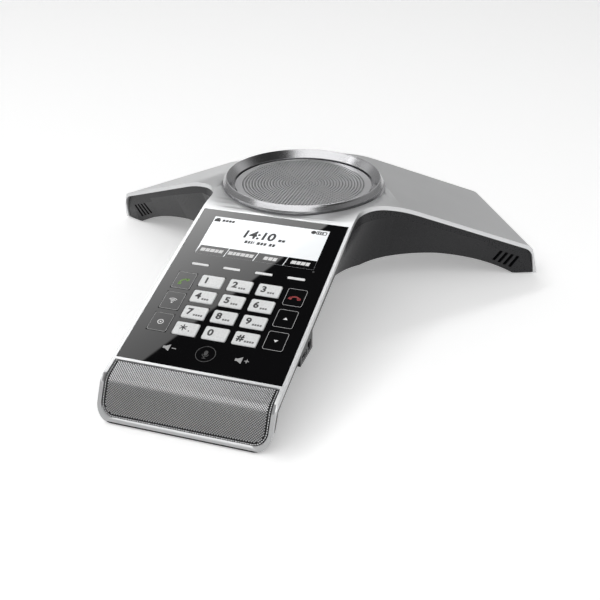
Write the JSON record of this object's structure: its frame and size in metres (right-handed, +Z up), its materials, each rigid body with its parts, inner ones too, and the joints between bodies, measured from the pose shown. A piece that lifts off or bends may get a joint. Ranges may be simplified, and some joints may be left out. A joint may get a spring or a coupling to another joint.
{
  "type": "tabletop conference phone",
  "caption": "Three-armed tabletop conference phone with a central loudspeaker, sloping key and display panel, pressing keys and a sliding battery door.",
  "frame": {"origin": "on the table, under the middle of the phone's bounding box; the loudspeaker's axis stands 43.2 mm further back", "axes": "+Z up from the table, -Y out along the front arm that carries the control panel, +X to the user's right"},
  "size_m": [0.2994, 0.3102, 0.0642],
  "materials": {
    "silver_shell": "satin silver paint",
    "dark_housing": "fine matte texture",
    "silver_mesh": "fine woven mesh, silver",
    "panel_gloss": "high gloss black",
    "display_lens": "clear, gloss",
    "display_module": "display face",
    "silicone": "matte",
    "circuit_board": "solder mask",
    "film": "thin film",
    "ring_metal": "polished, anodised",
    "speaker_metal": "perforated, satin",
    "basket_steel": "satin black",
    "magnet": "ferrite",
    "copper": "wound wire",
    "spider_cloth": "impregnated cloth",
    "cone_paper": "pulp paper",
    "soft_rubber": "soft",
    "can_tin": "tin plate",
    "battery_wrap": "shrink wrap",
    "connector_plastic": "moulded",
    "door_plastic": "fine matte texture",
    "screw_steel": "black zinc",
    "foot_rubber": "matte",
    "dial_key": "satin white",
    "side_key": "gloss black",
    "soft_key": "satin white"
  },
  "bodies": {
    "phone": {"top_shell": "silver_shell", "bottom_housing": "dark_housing", "front_grille": "silver_mesh", "face_panel": "panel_gloss", "lcd_window": "display_lens", "lcd_module": "display_module", "keypad_mat": "silicone", "keypad_board": "circuit_board", "touch_film": "film", "speaker_ring": "ring_metal", "speaker_grille": "speaker_metal", "speaker_basket": "basket_steel", "speaker_magnet": "magnet", "pole_plate": "basket_steel", "voice_coil": "copper", "speaker_spider": "spider_cloth", "speaker_cone": "cone_paper", "dust_cap": "cone_paper", "speaker_surround": "soft_rubber", "main_board": "circuit_board", "shield_can": "can_tin", "port_board": "circuit_board", "antenna_board": "circuit_board", "battery_pack": "battery_wrap", "battery_contacts": "connector_plastic", "usb_socket": "can_tin", "audio_socket": "connector_plastic", "housing_screws": "screw_steel", "front_mic_boot": "soft_rubber", "front_microphone": "can_tin", "front_foot": "foot_rubber", "right_mic_boot": "soft_rubber", "right_microphone": "can_tin", "right_foot": "foot_rubber", "left_mic_boot": "soft_rubber", "left_microphone": "can_tin", "left_foot": "foot_rubber"},
    "key_1": {"key_1": "dial_key"},
    "key_2": {"key_2": "dial_key"},
    "key_3": {"key_3": "dial_key"},
    "key_4": {"key_4": "dial_key"},
    "key_5": {"key_5": "dial_key"},
    "key_6": {"key_6": "dial_key"},
    "key_7": {"key_7": "dial_key"},
    "key_8": {"key_8": "dial_key"},
    "key_9": {"key_9": "dial_key"},
    "key_star": {"key_star": "dial_key"},
    "key_0": {"key_0": "dial_key"},
    "key_hash": {"key_hash": "dial_key"},
    "key_call": {"key_call": "side_key"},
    "key_link": {"key_link": "side_key"},
    "key_ok": {"key_ok": "side_key"},
    "key_end": {"key_end": "side_key"},
    "key_up": {"key_up": "side_key"},
    "key_down": {"key_down": "side_key"},
    "soft_key_1": {"soft_key_1": "soft_key"},
    "soft_key_2": {"soft_key_2": "soft_key"},
    "soft_key_3": {"soft_key_3": "soft_key"},
    "soft_key_4": {"soft_key_4": "soft_key"},
    "battery_door": {"battery_door": "door_plastic"}
  },
  "joints": [
    {"name": "key_1_press", "type": "slide", "parent": "phone", "child": "key_1", "axis": [0, 0.2672, -0.9636], "range_m": [0, 0.0008], "stiffness_N_per_m": 400, "springref_m": -0.0004},
    {"name": "key_2_press", "type": "slide", "parent": "phone", "child": "key_2", "axis": [0, 0.2672, -0.9636], "range_m": [0, 0.0008], "stiffness_N_per_m": 400, "springref_m": -0.0004},
    {"name": "key_3_press", "type": "slide", "parent": "phone", "child": "key_3", "axis": [0, 0.2672, -0.9636], "range_m": [0, 0.0008], "stiffness_N_per_m": 400, "springref_m": -0.0004},
    {"name": "key_4_press", "type": "slide", "parent": "phone", "child": "key_4", "axis": [0, 0.2672, -0.9636], "range_m": [0, 0.0008], "stiffness_N_per_m": 400, "springref_m": -0.0004},
    {"name": "key_5_press", "type": "slide", "parent": "phone", "child": "key_5", "axis": [0, 0.2672, -0.9636], "range_m": [0, 0.0008], "stiffness_N_per_m": 400, "springref_m": -0.0004},
    {"name": "key_6_press", "type": "slide", "parent": "phone", "child": "key_6", "axis": [0, 0.2672, -0.9636], "range_m": [0, 0.0008], "stiffness_N_per_m": 400, "springref_m": -0.0004},
    {"name": "key_7_press", "type": "slide", "parent": "phone", "child": "key_7", "axis": [0, 0.2672, -0.9636], "range_m": [0, 0.0008], "stiffness_N_per_m": 400, "springref_m": -0.0004},
    {"name": "key_8_press", "type": "slide", "parent": "phone", "child": "key_8", "axis": [0, 0.2672, -0.9636], "range_m": [0, 0.0008], "stiffness_N_per_m": 400, "springref_m": -0.0004},
    {"name": "key_9_press", "type": "slide", "parent": "phone", "child": "key_9", "axis": [0, 0.2672, -0.9636], "range_m": [0, 0.0008], "stiffness_N_per_m": 400, "springref_m": -0.0004},
    {"name": "key_star_press", "type": "slide", "parent": "phone", "child": "key_star", "axis": [0, 0.2672, -0.9636], "range_m": [0, 0.0008], "stiffness_N_per_m": 400, "springref_m": -0.0004},
    {"name": "key_0_press", "type": "slide", "parent": "phone", "child": "key_0", "axis": [0, 0.2672, -0.9636], "range_m": [0, 0.0008], "stiffness_N_per_m": 400, "springref_m": -0.0004},
    {"name": "key_hash_press", "type": "slide", "parent": "phone", "child": "key_hash", "axis": [0, 0.2672, -0.9636], "range_m": [0, 0.0008], "stiffness_N_per_m": 400, "springref_m": -0.0004},
    {"name": "key_call_press", "type": "slide", "parent": "phone", "child": "key_call", "axis": [0, 0.2672, -0.9636], "range_m": [0, 0.0008], "stiffness_N_per_m": 400, "springref_m": -0.0004},
    {"name": "key_link_press", "type": "slide", "parent": "phone", "child": "key_link", "axis": [0, 0.2672, -0.9636], "range_m": [0, 0.0008], "stiffness_N_per_m": 400, "springref_m": -0.0004},
    {"name": "key_ok_press", "type": "slide", "parent": "phone", "child": "key_ok", "axis": [0, 0.2672, -0.9636], "range_m": [0, 0.0008], "stiffness_N_per_m": 400, "springref_m": -0.0004},
    {"name": "key_end_press", "type": "slide", "parent": "phone", "child": "key_end", "axis": [0, 0.2672, -0.9636], "range_m": [0, 0.0008], "stiffness_N_per_m": 400, "springref_m": -0.0004},
    {"name": "key_up_press", "type": "slide", "parent": "phone", "child": "key_up", "axis": [0, 0.2672, -0.9636], "range_m": [0, 0.0008], "stiffness_N_per_m": 400, "springref_m": -0.0004},
    {"name": "key_down_press", "type": "slide", "parent": "phone", "child": "key_down", "axis": [0, 0.2672, -0.9636], "range_m": [0, 0.0008], "stiffness_N_per_m": 400, "springref_m": -0.0004},
    {"name": "soft_key_1_press", "type": "slide", "parent": "phone", "child": "soft_key_1", "axis": [0, 0.2672, -0.9636], "range_m": [0, 0.0008], "stiffness_N_per_m": 400, "springref_m": -0.0004},
    {"name": "soft_key_2_press", "type": "slide", "parent": "phone", "child": "soft_key_2", "axis": [0, 0.2672, -0.9636], "range_m": [0, 0.0008], "stiffness_N_per_m": 400, "springref_m": -0.0004},
    {"name": "soft_key_3_press", "type": "slide", "parent": "phone", "child": "soft_key_3", "axis": [0, 0.2672, -0.9636], "range_m": [0, 0.0008], "stiffness_N_per_m": 400, "springref_m": -0.0004},
    {"name": "soft_key_4_press", "type": "slide", "parent": "phone", "child": "soft_key_4", "axis": [0, 0.2672, -0.9636], "range_m": [0, 0.0008], "stiffness_N_per_m": 400, "springref_m": -0.0004},
    {"name": "battery_door_slide", "type": "slide", "parent": "phone", "child": "battery_door", "axis": [0, -1, 0], "range_m": [0, 0.008]}
  ]
}
